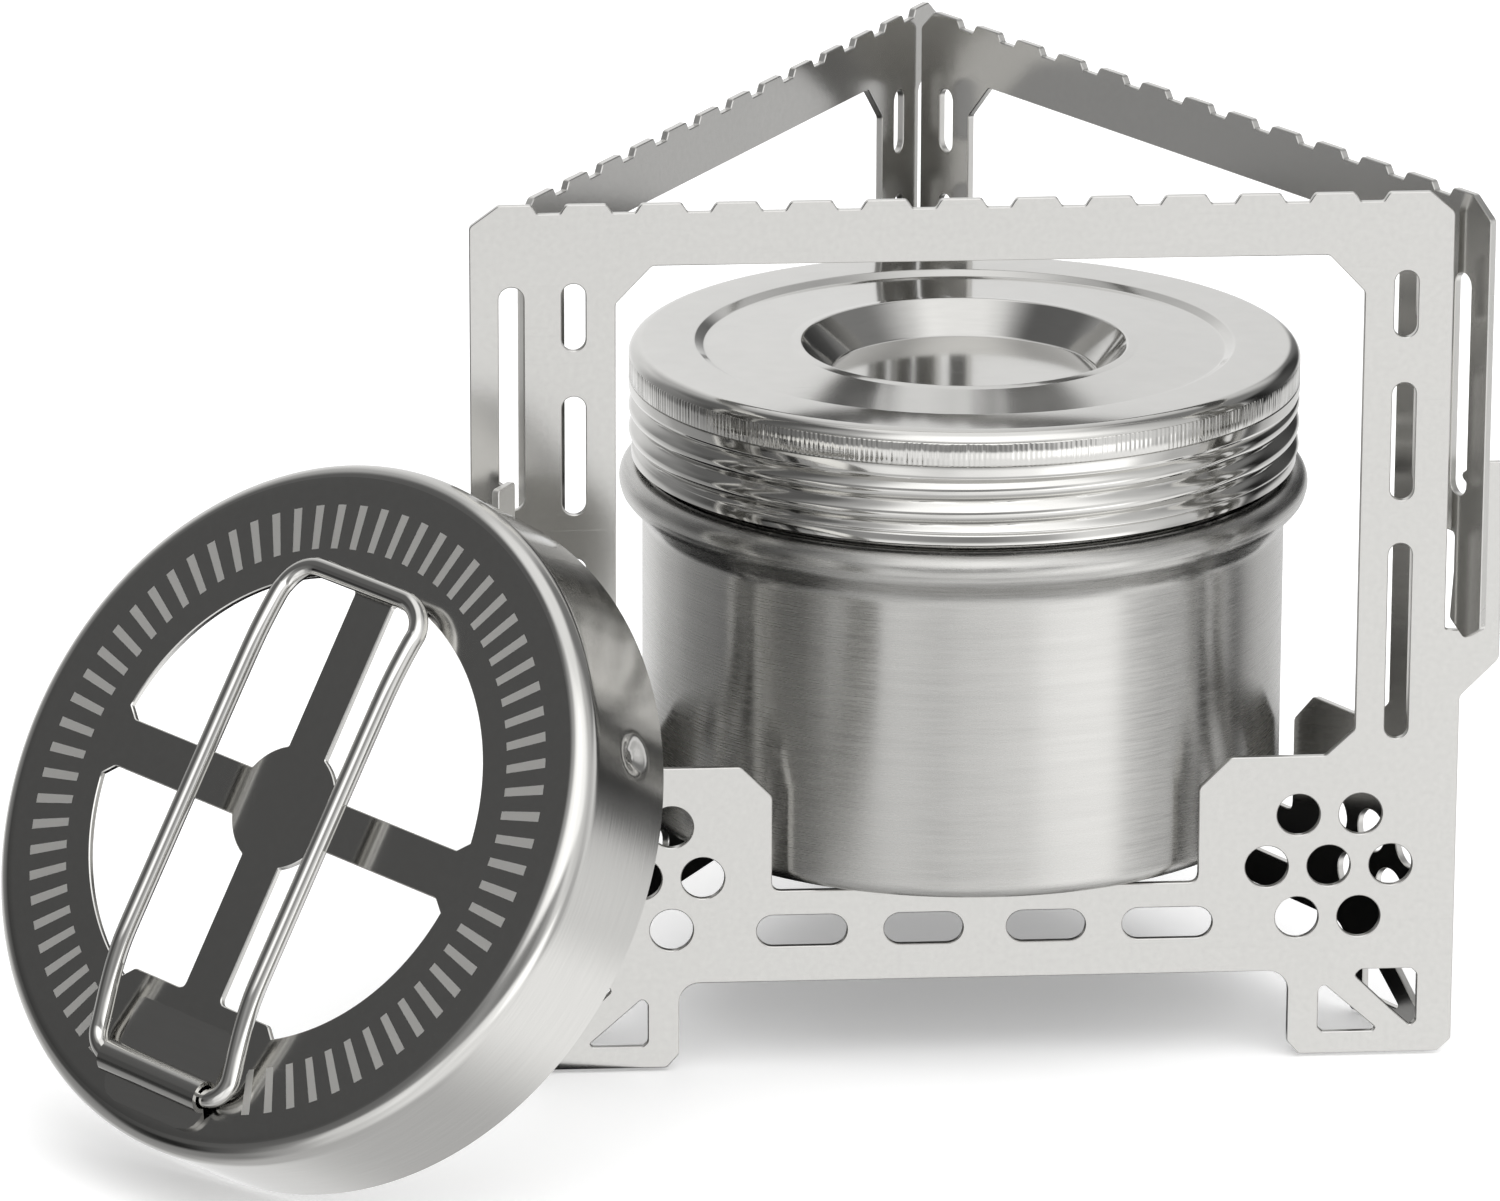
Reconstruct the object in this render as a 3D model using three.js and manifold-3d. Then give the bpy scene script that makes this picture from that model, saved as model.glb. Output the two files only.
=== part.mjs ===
// Spirit-burner cook set: a three-plate triangular pot stand, a screw-lidded alcohol burner
// standing in it, and a flame regulator with a folding wire handle leaning on one corner.
// Millimetres, +Z up.
import * as THREE from 'three';
import { mergeVertices } from 'three/addons/utils/BufferGeometryUtils.js';
import Module from 'manifold-3d';

const wasm = await Module();
wasm.setup();

// ---- pot stand: three equal sheet plates, hooked together at 60 degrees ----
const CORNER_PITCH = 98.6;
const INRADIUS = CORNER_PITCH / (2 * Math.sqrt(3));
const SHEET = 0.8;
const STAND_HEIGHT = 94.6;
const PLATE_REACH = 54.1;
const TEETH = 12;
const TOOTH_PITCH = 7.77;
const FIRST_GAP = -45.9;
const GAP_MOUTH = 3.6;
const GAP_FLOOR = 2.4;
const GAP_DEPTH = 0.95;
const UPRIGHT_EDGE = 48.25;
const LEG_END = 50.0;
const LEG_START = 47.2;
const HOOK_TOP = 65.3;
const HOOK_INNER = 50.4;
const HOOK_THROAT = 47.0;
const TONGUE_TIP = 46.5;
const TONGUE_TOP = 57.7;
const WINDOW_HALF = 39.0;
const WINDOW_TOP = 88.0;
const SHOULDER = 33.3;
const CRADLE_HALF = 22.6;
const CRADLE_FLOOR = 19.5;
const BAR_UNDERSIDE = 9.4;
const FOOT_INNER = 32.4;
const END_SLOT_OUTER = 51.1;
const END_SLOT_INNER = 48.5;
const VENT_CENTRE = [36.5, 21.1];
const VENT_RADIUS = 2.3;
const VENT_PITCH = 6.6;

// ---- burner ----
const BURNER_BASE = CRADLE_FLOOR + 0.3;
const BURNER_RADIUS = 34.5;
const BEAD_RADIUS = 37.0;
const BEAD_HEIGHT = 56.35;
const BEAD_ROLL = 2.4;
const NECK_RADIUS = 33.9;
const THREAD_CREST = 34.5;
const THREAD_PITCH = 2.5;
const NECK_TOP = 68.9;
const WELL_RADIUS = 25.2;
const WALL = 0.7;
const JETS = 24;
const JET_RADIUS = 0.6;
const FEED_HOLES = 6;

// ---- lid ----
const LID_RADIUS = 36.0;
const LID_TOP = 71.5;
const LID_SKIRT = 59.1;
const LID_BORE = 34.85;
const LID_SHEET = 0.65;
const LID_RECESS = 0.55;
const DISH_FLOOR = 67.9;
const DISH_RIM = 71.35;

// ---- flame regulator ----
const CAP_RADIUS = 37.1;
const CAP_DEPTH = 14.2;
const CAP_SHEET = 0.7;
const CAP_EDGE = 2.2;
const GRILLE_RADIUS = 24.5;
const SPOKE_HALF = 2.6;
const HUB_RADIUS = 6.5;
const LAND_EDGE = 20.9;
const LAND_HALF = 9.5;
const CAP_YAW = THREE.MathUtils.degToRad(43.2);
const CAP_LEAN = THREE.MathUtils.degToRad(30.4);
const CAP_SPIN = THREE.MathUtils.degToRad(-5.6);
const CAP_X = -74.5;
const CAP_Y = -56.55;

// ---- regulator handle and its clip, in the regulator's own frame ----
const WIRE_RADIUS = 1.0;
const HINGE_Y = -30.1;
const HINGE_Z = 1.45;
const HANDLE_HALF = 9.4;
const HANDLE_TOP = 24.0;
const HANDLE_CREST = [-17.5, 3.8];
const HANDLE_BEND = [16.0, 3.6];
const HANDLE_TIP = 2.4;
const CLIP_HALF = 6.9;
const CLIP_SHEET = 0.45;
const CLIP_BORE = 1.25;
const CLIP_INNER_END = -23.2;
const CLIP_OUTER_END = -34.1;

const ROUND = 52;

const steel = { color: 0xd6d5d1, roughness: 0.3, metalness: 1.0 };
const brushed = { color: 0xc4c2be, roughness: 0.38, metalness: 1.0 };
const polished = { color: 0xd9d9d8, roughness: 0.16, metalness: 1.0 };
const dark = { color: 0x55534f, roughness: 0.32, metalness: 1.0 };
const cotton = { color: 0xcfc8b6, roughness: 0.95, metalness: 0.0 };
const silicone = { color: 0x2a2a2b, roughness: 0.75, metalness: 0.0 };

function weld(geometry) {
  geometry.deleteAttribute('normal');
  geometry.deleteAttribute('uv');
  return mergeVertices(geometry, 1e-5);
}

function signedVolume(geometry) {
  const p = geometry.attributes.position;
  const idx = geometry.index.array;
  const [a, b, c] = [new THREE.Vector3(), new THREE.Vector3(), new THREE.Vector3()];
  let sum = 0;
  for (let i = 0; i < idx.length; i += 3) {
    a.fromBufferAttribute(p, idx[i]);
    b.fromBufferAttribute(p, idx[i + 1]);
    c.fromBufferAttribute(p, idx[i + 2]);
    sum += a.dot(b.cross(c)) / 6;
  }
  return sum;
}

function outward(geometry) {
  if (signedVolume(geometry) < 0) {
    const idx = geometry.index.array;
    for (let i = 0; i < idx.length; i += 3) {
      [idx[i + 1], idx[i + 2]] = [idx[i + 2], idx[i + 1]];
    }
  }
  return geometry;
}

// A profile of [radius, z] pairs turned about Z.
function turned(profile, segments = ROUND) {
  const pts = profile.map(([r, z]) => new THREE.Vector2(r, z));
  const onAxis = profile[0][0] === 0 && profile[profile.length - 1][0] === 0;
  if (!onAxis) {
    pts.push(pts[0].clone());
  }
  const geometry = weld(new THREE.LatheGeometry(pts, segments));
  geometry.rotateX(Math.PI / 2);
  return outward(dropSlivers(geometry));
}

// The turning leaves zero-area triangles where the profile meets the axis.
function dropSlivers(geometry) {
  const idx = geometry.index.array;
  const kept = [];
  for (let i = 0; i < idx.length; i += 3) {
    const [a, b, c] = [idx[i], idx[i + 1], idx[i + 2]];
    if (a !== b && b !== c && c !== a) {
      kept.push(a, b, c);
    }
  }
  geometry.setIndex(kept);
  return geometry;
}

function toSolid(geometry) {
  return new wasm.Manifold(new wasm.Mesh({
    numProp: 3,
    vertProperties: new Float32Array(geometry.attributes.position.array),
    triVerts: new Uint32Array(geometry.index.array),
  }));
}

function fromSolid(solid) {
  const mesh = solid.getMesh();
  const geometry = new THREE.BufferGeometry();
  geometry.setAttribute('position', new THREE.BufferAttribute(new Float32Array(mesh.vertProperties), 3));
  geometry.setIndex(new THREE.BufferAttribute(new Uint32Array(mesh.triVerts), 1));
  return geometry;
}

function arc(cx, cy, radius, from, to, steps) {
  const pts = [];
  for (let i = 0; i <= steps; i += 1) {
    const a = THREE.MathUtils.degToRad(from + ((to - from) * i) / steps);
    pts.push([cx + radius * Math.cos(a), cy + radius * Math.sin(a)]);
  }
  return pts;
}

function closedPath(points, Kind = THREE.Path) {
  const path = new Kind();
  path.setFromPoints(points.map(([x, y]) => new THREE.Vector2(x, y)));
  path.closePath();
  return path;
}

function slot(x0, y0, x1, y1) {
  const r = Math.min(x1 - x0, y1 - y0) / 2;
  if (x1 - x0 > y1 - y0) {
    return closedPath([...arc(x1 - r, y0 + r, r, -90, 90, 8), ...arc(x0 + r, y0 + r, r, 90, 270, 8)]);
  }
  return closedPath([...arc(x0 + r, y1 - r, r, 0, 180, 8), ...arc(x0 + r, y0 + r, r, 180, 360, 8)]);
}

function round(x, y, radius, steps = 16) {
  return closedPath(arc(x, y, radius, 0, 360 - 360 / steps, steps - 1));
}

// ---- pot stand ----

function toothedEdge() {
  const pts = [];
  for (let k = TEETH - 1; k >= 0; k -= 1) {
    const c = FIRST_GAP + TOOTH_PITCH * k;
    pts.push([c + GAP_MOUTH / 2, STAND_HEIGHT], [c + GAP_FLOOR / 2, STAND_HEIGHT - GAP_DEPTH]);
    pts.push([c - GAP_FLOOR / 2, STAND_HEIGHT - GAP_DEPTH], [c - GAP_MOUTH / 2, STAND_HEIGHT]);
  }
  return pts;
}

function plateOutline() {
  return closedPath([
    [FOOT_INNER + 1.3, 0], [LEG_END - 1.4, 0], [LEG_END, 1.3], [LEG_END, 39.6],
    [PLATE_REACH, 43.7], [PLATE_REACH, HOOK_TOP - 0.4], [PLATE_REACH - 0.4, HOOK_TOP],
    [HOOK_INNER + 0.4, HOOK_TOP], [HOOK_INNER, HOOK_TOP - 0.4], [HOOK_INNER, HOOK_THROAT + 0.4],
    [HOOK_INNER - 0.4, HOOK_THROAT], [UPRIGHT_EDGE + 0.4, HOOK_THROAT],
    [UPRIGHT_EDGE, HOOK_THROAT + 0.4], [UPRIGHT_EDGE, STAND_HEIGHT - 2.2],
    [UPRIGHT_EDGE - 2.5, STAND_HEIGHT],
    ...toothedEdge(),
    [3 - PLATE_REACH, STAND_HEIGHT], [-PLATE_REACH, STAND_HEIGHT - 2.2],
    [-PLATE_REACH, TONGUE_TIP + 1.7], [-51.4, TONGUE_TIP], [-48.9, TONGUE_TIP + 1.7],
    [-49.4, TONGUE_TIP + 7.0], [-49.4, TONGUE_TOP - 0.8], [-48.8, TONGUE_TOP],
    [-0.6 - LEG_START, TONGUE_TOP], [-LEG_START, TONGUE_TOP - 0.6], [-LEG_START, 1.3],
    [1.4 - LEG_START, 0], [-FOOT_INNER - 1.3, 0], [-FOOT_INNER, 1.5],
    ...arc(-FOOT_INNER + 2.2, BAR_UNDERSIDE - 2.2, 2.2, 180, 90, 4),
    ...arc(FOOT_INNER - 2.2, BAR_UNDERSIDE - 2.2, 2.2, 90, 0, 4),
    [FOOT_INNER, 1.5],
  ], THREE.Shape);
}

function windowHole() {
  const half = [
    [WINDOW_HALF, 36.2], [WINDOW_HALF, WINDOW_TOP - 4], [WINDOW_HALF - 3.8, WINDOW_TOP],
  ];
  const lower = [
    ...arc(CRADLE_HALF - 1, CRADLE_FLOOR + 1, 1, -90, 0, 3), [CRADLE_HALF, 30.0],
    [CRADLE_HALF + 3.3, SHOULDER], [WINDOW_HALF - 3.1, SHOULDER],
  ];
  const right = [...lower, ...half];
  const left = right.map(([x, y]) => [-x, y]).reverse();
  return closedPath([...right, ...left]);
}

// The end slot has a small detent on its outer side, just above its foot.
function endSlot() {
  const r = (END_SLOT_OUTER - END_SLOT_INNER) / 2;
  const mid = -(END_SLOT_OUTER + END_SLOT_INNER) / 2;
  return closedPath([
    ...arc(mid, 61.9 + r, r, 180, 360, 8), ...arc(mid, 85.9 - r, r, 0, 180, 8),
    [-END_SLOT_OUTER, 64.9], [-END_SLOT_OUTER + 0.7, 64.5], [-END_SLOT_OUTER + 0.7, 63.9],
    [-END_SLOT_OUTER, 63.5],
  ]);
}

function ventCluster(side) {
  const [x, y] = [VENT_CENTRE[0] * side, VENT_CENTRE[1]];
  const holes = [round(x, y, VENT_RADIUS)];
  for (let k = 0; k < 6; k += 1) {
    const a = (k * Math.PI) / 3;
    holes.push(round(x + VENT_PITCH * Math.cos(a), y + VENT_PITCH * Math.sin(a), VENT_RADIUS));
  }
  return holes;
}

function footWindows(side) {
  const low = [[35.7, 7.1], [35.7, 2.9], [36.2, 2.4], [41.6, 2.4], [41.9, 2.8], [36.5, 7.6], [36.1, 7.6]];
  const high = [[40.2, 9.4], [39.5, 8.7], [43.4, 4.9], [45.6, 2.9], [46.2, 3.5], [46.2, 8.8], [45.6, 9.4]];
  return [low, high].map((ring) => {
    const pts = ring.map(([x, y]) => [x * side, y]);
    return closedPath(side < 0 ? pts.reverse() : pts);
  });
}

function plateHoles() {
  const holes = [windowHole(), endSlot()];
  for (const side of [-1, 1]) {
    const [a, b] = side < 0 ? [-44.6, -42.1] : [42.1, 44.6];
    holes.push(slot(a, 79.0, b, 86.2), slot(a, 61.3, b, 74.1), slot(a, 35.1, b, 56.6));
    holes.push(...ventCluster(side), ...footWindows(side));
  }
  for (const [mid, length] of [[-19.4, 9.6], [-6.5, 8.4], [6.5, 8.4], [19.4, 9.6]]) {
    holes.push(slot(mid - length / 2, 13.3, mid + length / 2, 16.8));
  }
  return holes;
}

function standPlate(turn) {
  const shape = plateOutline();
  shape.holes = plateHoles();
  const geometry = weld(new THREE.ExtrudeGeometry(shape, { depth: SHEET, bevelEnabled: false, steps: 1 }));
  geometry.rotateX(Math.PI / 2);
  geometry.translate(0, SHEET / 2 - INRADIUS, 0);
  geometry.rotateZ((turn * 2 * Math.PI) / 3);
  return outward(geometry);
}

// ---- burner ----

function burnerShell() {
  const z = BURNER_BASE;
  const crest = BEAD_RADIUS - BEAD_ROLL;
  return turned([
    [0, z], [BURNER_RADIUS - 1.7, z],
    ...arc(BURNER_RADIUS - 1.7, z + 1.7, 1.7, -60, 0, 3),
    [BURNER_RADIUS, BEAD_HEIGHT - 3.9], [BURNER_RADIUS + 0.3, BEAD_HEIGHT - 2.9],
    ...arc(crest, BEAD_HEIGHT, BEAD_ROLL, -60, 90, 7),
    [crest - 0.25, BEAD_HEIGHT + BEAD_ROLL - 0.1], [NECK_RADIUS + 0.35, BEAD_HEIGHT + 1.5],
    [BURNER_RADIUS - WALL, BEAD_HEIGHT - 0.8], [BURNER_RADIUS - WALL, z + 2.0],
    [BURNER_RADIUS - WALL - 1.2, z + WALL], [0, z + WALL],
  ]);
}

function threadRings() {
  const pts = [];
  for (let k = 0; k < 3; k += 1) {
    const z = 61.3 + THREAD_PITCH * k;
    pts.push([NECK_RADIUS, z - 0.8], [THREAD_CREST, z - 0.15], [THREAD_CREST, z + 0.15], [NECK_RADIUS, z + 0.8]);
  }
  return pts;
}

function burnerCollar() {
  const skirt = BURNER_RADIUS - WALL - 0.4;
  return turned([
    [skirt, 50.0], [skirt, 57.0], [NECK_RADIUS, 57.6], ...threadRings(),
    [NECK_RADIUS, NECK_TOP - 0.8], [NECK_RADIUS - 0.4, NECK_TOP], [NECK_RADIUS - 1.3, NECK_TOP],
    [NECK_RADIUS - WALL, NECK_TOP - 1.1], [NECK_RADIUS - WALL, 58.0],
    [skirt - WALL, 57.3], [skirt - WALL, 50.0],
  ]);
}

function rod(radius, length, segments = 8) {
  return toSolid(turned([[0, -length / 2], [radius, -length / 2], [radius, length / 2], [0, length / 2]], segments));
}

// The inner wall carries the ring of flame jets on its sloping top and feed holes at its foot.
function burnerJetWall() {
  const r = WELL_RADIUS;
  let solid = toSolid(turned([
    [r, 22.3], [r + 0.6, 22.3], [r + 0.6, 62.8], [27.3, 64.9], [31.7, 68.0], [32.2, 68.0],
    [32.2, 68.7], [31.4, 68.7], [26.9, 65.5], [r, 63.1],
  ]));
  for (let k = 0; k < JETS; k += 1) {
    const turn = ((k + 0.5) * 360) / JETS;
    solid = solid.subtract(rod(JET_RADIUS, 4, 6).rotate([0, -35, 0]).translate([29.3, 0, 66.8]).rotate([0, 0, turn]));
  }
  for (let k = 0; k < FEED_HOLES; k += 1) {
    const turn = ((k + 0.5) * 360) / FEED_HOLES;
    solid = solid.subtract(rod(1.8, 6, 10).rotate([0, 90, 0]).translate([r, 0, 26]).rotate([0, 0, turn]));
  }
  return fromSolid(solid);
}

function burnerWick() {
  return turned([[26.2, 21.0], [32.3, 21.0], [32.3, 59.4], [31.7, 60.0], [26.8, 60.0], [26.2, 59.4]], 36);
}

// ---- lid ----

function lidShell() {
  const s = LID_SHEET;
  const recess = LID_TOP - LID_RECESS;
  const rolls = [];
  for (const z of [62.55 + THREAD_PITCH, 62.55]) {
    rolls.push([LID_RADIUS - 0.65, z + 1.2], [LID_RADIUS - 0.1, z + 0.75]);
    rolls.push([LID_RADIUS - 0.03, z], [LID_RADIUS - 0.15, z - 0.7]);
  }
  return turned([
    [0, DISH_FLOOR], [14.2, DISH_FLOOR], [14.6, DISH_FLOOR + 0.25], [17.3, DISH_RIM - 0.3],
    [17.8, DISH_RIM], [18.6, DISH_RIM - 0.12], [27.4, recess], [28.0, recess], [28.8, LID_TOP], [LID_RADIUS - 1.3, LID_TOP],
    [LID_RADIUS - 0.4, LID_TOP - 0.35], [LID_RADIUS, LID_TOP - 1.0], [LID_RADIUS, 66.5],
    ...rolls,
    [LID_RADIUS - 0.7, 61.25], [LID_RADIUS - 0.35, 60.7], [LID_RADIUS - 0.35, LID_SKIRT],
    [LID_BORE, LID_SKIRT], [LID_BORE, 66.2], [LID_RADIUS - s, 66.7],
    [LID_RADIUS - s, LID_TOP - 1.1], [LID_RADIUS - 1.5, LID_TOP - s],
    [28.5, LID_TOP - s], [27.6, recess - s], [18.6, DISH_RIM - 0.12 - s], [18.1, DISH_RIM - 0.1 - s],
    [17.7, DISH_RIM - 0.3 - s], [14.9, DISH_FLOOR + 0.1 - s], [14.5, DISH_FLOOR - s], [0, DISH_FLOOR - s],
  ]);
}

function lidSeal() {
  const ring = arc(32.8, 69.87, 0.78, 0, 300, 5);
  return turned(ring, 44);
}

// ---- flame regulator ----

// Stands a piece drawn about the cap's face centre, face along +Z, in its leaning place.
function capPlacement() {
  const normal = new THREE.Vector3(
    -Math.sin(CAP_YAW) * Math.cos(CAP_LEAN), -Math.cos(CAP_YAW) * Math.cos(CAP_LEAN), Math.sin(CAP_LEAN),
  );
  const across = new THREE.Vector3(Math.cos(CAP_YAW), -Math.sin(CAP_YAW), 0);
  const up = new THREE.Vector3().crossVectors(normal, across);
  const height = CAP_DEPTH * Math.sin(CAP_LEAN) + CAP_RADIUS * Math.cos(CAP_LEAN);
  const place = new THREE.Matrix4().makeBasis(across, up, normal).setPosition(CAP_X, CAP_Y, height);
  return place.multiply(new THREE.Matrix4().makeRotationZ(CAP_SPIN));
}

function capBlank() {
  const inner = CAP_EDGE - CAP_SHEET;
  return toSolid(turned([
    [0, 0], ...arc(CAP_RADIUS - CAP_EDGE, -CAP_EDGE, CAP_EDGE, 90, 0, 4),
    [CAP_RADIUS, -CAP_DEPTH], [CAP_RADIUS - CAP_SHEET, -CAP_DEPTH],
    ...arc(CAP_RADIUS - CAP_EDGE, -CAP_EDGE, inner, 0, 90, 4), [0, -CAP_SHEET],
  ], 64));
}

function grilleWindow(side, low) {
  const hub = Math.sqrt(HUB_RADIUS ** 2 - SPOKE_HALF ** 2);
  const edge = THREE.MathUtils.radToDeg(Math.asin((SPOKE_HALF + 1.2) / GRILLE_RADIUS));
  const hubEdge = THREE.MathUtils.radToDeg(Math.asin(SPOKE_HALF / HUB_RADIUS));
  const landStart = THREE.MathUtils.radToDeg(Math.acos((LAND_HALF + 1.2) / GRILLE_RADIUS));
  const outer = low
    ? [...arc(0, 0, GRILLE_RADIUS, edge, landStart, 10), [LAND_HALF, LAND_EDGE], [SPOKE_HALF + 1, LAND_EDGE]]
    : arc(0, 0, GRILLE_RADIUS, edge, 90 - edge, 14);
  const tip = low ? LAND_EDGE - 1 : GRILLE_RADIUS - 1.6;
  const ring = [
    [GRILLE_RADIUS - 1.6, SPOKE_HALF], ...outer, [SPOKE_HALF, tip], [SPOKE_HALF, hub],
    ...arc(0, 0, HUB_RADIUS, 90 - hubEdge, hubEdge, 4).slice(1, -1), [hub, SPOKE_HALF],
  ];
  const pts = ring.map(([x, y]) => [x * side, low ? -y : y]);
  const shape = closedPath(pts, THREE.Shape);
  const geometry = weld(new THREE.ExtrudeGeometry(shape, { depth: 4, bevelEnabled: false, steps: 1 }));
  geometry.translate(0, 0, -2);
  return toSolid(outward(geometry));
}

function ball(radius) {
  const geometry = weld(new THREE.SphereGeometry(radius, 12, 8));
  return toSolid(outward(dropSlivers(geometry)));
}

// Three pressed dimples in the side wall hold the cap on the burner's neck.
function dimpled(solid) {
  const core = rod(CAP_RADIUS - 0.35, 60, 64);
  let result = solid;
  for (const turn of [30, 150, 270]) {
    const place = (s, r) => s.translate([r, 0, -8.8]).rotate([0, 0, turn]);
    result = result.add(place(ball(3), CAP_RADIUS + 1.7).intersect(core));
    result = result.subtract(place(ball(3), CAP_RADIUS + 2.4));
  }
  return result;
}

function regulatorCap() {
  let solid = capBlank();
  for (const side of [-1, 1]) {
    solid = solid.subtract(grilleWindow(side, false)).subtract(grilleWindow(side, true));
  }
  return fromSolid(dimpled(solid)).applyMatrix4(capPlacement());
}

// Centre line of the handle: both ends of the wire meet in the middle of the clip.
class HandleLine extends THREE.Curve {
  constructor() {
    super();
    const corner = HANDLE_TOP - 3.6;
    const half = [
      [0.25, HINGE_Y, HINGE_Z], [HANDLE_HALF - 1.9, HINGE_Y, HINGE_Z],
      ...arc(HANDLE_HALF - 1.9, HINGE_Y + 1.9, 1.9, -60, 0, 2).map(([x, y]) => [x, y, HINGE_Z + 0.2]),
      [HANDLE_HALF, HINGE_Y + 4.0, HINGE_Z + 1.0], [HANDLE_HALF, HINGE_Y + 8.6, HANDLE_CREST[1] - 0.35],
      [HANDLE_HALF, ...HANDLE_CREST], [HANDLE_HALF, ...HANDLE_BEND], [HANDLE_HALF, corner, HANDLE_TIP + 0.7],
      ...arc(HANDLE_HALF - 3.6, corner, 3.6, 30, 90, 2).map(([x, y]) => [x, y, HANDLE_TIP]),
    ];
    const mirrored = half.map(([x, y, z]) => [-x, y, z]).reverse();
    const pts = [...half, ...mirrored].map((p) => new THREE.Vector3(...p));
    this.path = new THREE.CurvePath();
    for (let i = 1; i < pts.length; i += 1) {
      this.path.add(new THREE.LineCurve3(pts[i - 1], pts[i]));
    }
  }

  getPoint(t, target = new THREE.Vector3()) {
    return target.copy(this.path.getPointAt(THREE.MathUtils.clamp(t, 0, 1)));
  }
}

function regulatorHandle() {
  const section = closedPath(arc(0, 0, WIRE_RADIUS, 0, 315, 7), THREE.Shape);
  const geometry = weld(new THREE.ExtrudeGeometry(section, {
    steps: 72, bevelEnabled: false, extrudePath: new HandleLine(),
  }));
  return outward(geometry).applyMatrix4(capPlacement());
}

// A strap bent over the wire, with a flat leaf on either side welded to the cap's face.
function hingeClip() {
  const base = 0.25;
  const top = base + CLIP_SHEET;
  const over = CLIP_BORE + CLIP_SHEET;
  const section = closedPath([
    [CLIP_OUTER_END, base], [HINGE_Y - CLIP_BORE, base],
    ...arc(HINGE_Y, HINGE_Z, CLIP_BORE, 180, 0, 8), [HINGE_Y + CLIP_BORE, base],
    [CLIP_INNER_END, base], [CLIP_INNER_END, top], [HINGE_Y + over, top],
    ...arc(HINGE_Y, HINGE_Z, over, 0, 180, 8), [HINGE_Y - over, top], [CLIP_OUTER_END, top],
  ], THREE.Shape);
  const strap = weld(new THREE.ExtrudeGeometry(section, { depth: 2 * CLIP_HALF, bevelEnabled: false, steps: 1 }));
  strap.rotateY(Math.PI / 2);
  strap.rotateX(Math.PI / 2);
  strap.translate(-CLIP_HALF, 0, 0);
  return fromSolid(toSolid(outward(strap)).intersect(clipPlan())).applyMatrix4(capPlacement());
}

function clipPlan() {
  const [x, low, high, r] = [CLIP_HALF, CLIP_OUTER_END, CLIP_INNER_END, 2.4];
  const shape = closedPath([
    ...arc(x - r, low + r, r, -90, 0, 4), ...arc(x - 1, high - 1, 1, 0, 90, 2),
    ...arc(1 - x, high - 1, 1, 90, 180, 2), ...arc(r - x, low + r, r, 180, 270, 4),
  ], THREE.Shape);
  const geometry = weld(new THREE.ExtrudeGeometry(shape, { depth: 12, bevelEnabled: false, steps: 1 }));
  geometry.translate(0, 0, -4);
  return toSolid(outward(geometry));
}

// ---- assembly ----

const group = new THREE.Group();

function put(name, geometry, look) {
  geometry.computeVertexNormals();
  const mesh = new THREE.Mesh(geometry, new THREE.MeshStandardMaterial(look));
  mesh.name = name;
  group.add(mesh);
}

put('stand_front_plate', standPlate(0), steel);
put('stand_right_plate', standPlate(1), steel);
put('stand_left_plate', standPlate(2), steel);
put('burner_shell', burnerShell(), brushed);
put('burner_collar', burnerCollar(), polished);
put('burner_jet_wall', burnerJetWall(), polished);
put('burner_wick', burnerWick(), cotton);
put('lid_seal', lidSeal(), silicone);
put('lid_shell', lidShell(), polished);
put('regulator_cap', regulatorCap(), dark);
put('regulator_hinge_clip', hingeClip(), dark);
put('regulator_handle', regulatorHandle(), polished);

// The frame's origin is the middle of the whole set's footprint, on the ground.
const extent = new THREE.Box3().setFromObject(group);
const middle = extent.getCenter(new THREE.Vector3());
for (const mesh of group.children) {
  mesh.geometry.translate(-middle.x, -middle.y, -extent.min.z);
}

export default group;
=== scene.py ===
"""Looks of the spirit-burner set: pot stand, burner with its screw lid, and flame regulator."""
import math

import bmesh
import bpy
from mathutils import Matrix, Vector

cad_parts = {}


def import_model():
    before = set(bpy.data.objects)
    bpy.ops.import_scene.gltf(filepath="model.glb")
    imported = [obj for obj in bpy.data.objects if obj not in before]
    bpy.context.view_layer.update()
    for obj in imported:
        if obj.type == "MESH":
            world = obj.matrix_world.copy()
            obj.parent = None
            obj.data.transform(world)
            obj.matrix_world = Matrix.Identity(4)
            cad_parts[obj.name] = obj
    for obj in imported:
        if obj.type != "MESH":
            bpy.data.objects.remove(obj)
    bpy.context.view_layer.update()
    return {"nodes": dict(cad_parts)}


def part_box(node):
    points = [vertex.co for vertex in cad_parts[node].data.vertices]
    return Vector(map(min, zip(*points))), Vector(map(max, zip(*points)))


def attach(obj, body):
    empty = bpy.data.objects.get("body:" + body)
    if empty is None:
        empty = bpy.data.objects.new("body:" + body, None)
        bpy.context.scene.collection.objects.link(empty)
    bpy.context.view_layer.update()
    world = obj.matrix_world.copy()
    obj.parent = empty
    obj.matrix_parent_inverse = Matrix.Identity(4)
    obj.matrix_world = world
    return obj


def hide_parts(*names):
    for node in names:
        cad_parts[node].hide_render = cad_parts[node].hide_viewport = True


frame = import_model()

MM = 0.001
TAU = 2 * math.pi

# ---- where things stand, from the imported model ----
shell_lo, shell_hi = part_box("burner_shell")
AXIS = Vector(((shell_lo.x + shell_hi.x) / 2, (shell_lo.y + shell_hi.y) / 2, 0)) / MM

# ---- sizes in millimetres ----
# pot stand: corner spacing, sheet, height, and reach of a plate's ends from its middle; notches; holes
PITCH, SHEET, HEIGHT, REACH = 98.6, 0.8, 94.6, 54.1
INRADIUS = PITCH / (2 * math.sqrt(3))
EDGE_BREAK = 0.09
NOTCHES, NOTCH_FIRST, NOTCH_PITCH = 12, -45.9, 7.77
NOTCH_TOP, NOTCH_FLOOR, NOTCH_DEEP = 1.8, 1.2, 0.95
HOOK_SLOT_X, HOOK_SLOT_R = -49.8, 1.3
SIDE_SLOT_X, SIDE_SLOT_R = 43.35, 1.25
VENT_X, VENT_Y, VENT_R, VENT_RING = 36.5, 21.1, 2.3, 6.6
BAR_SLOT_Y, BAR_SLOT_R = 15.05, 1.75

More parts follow.
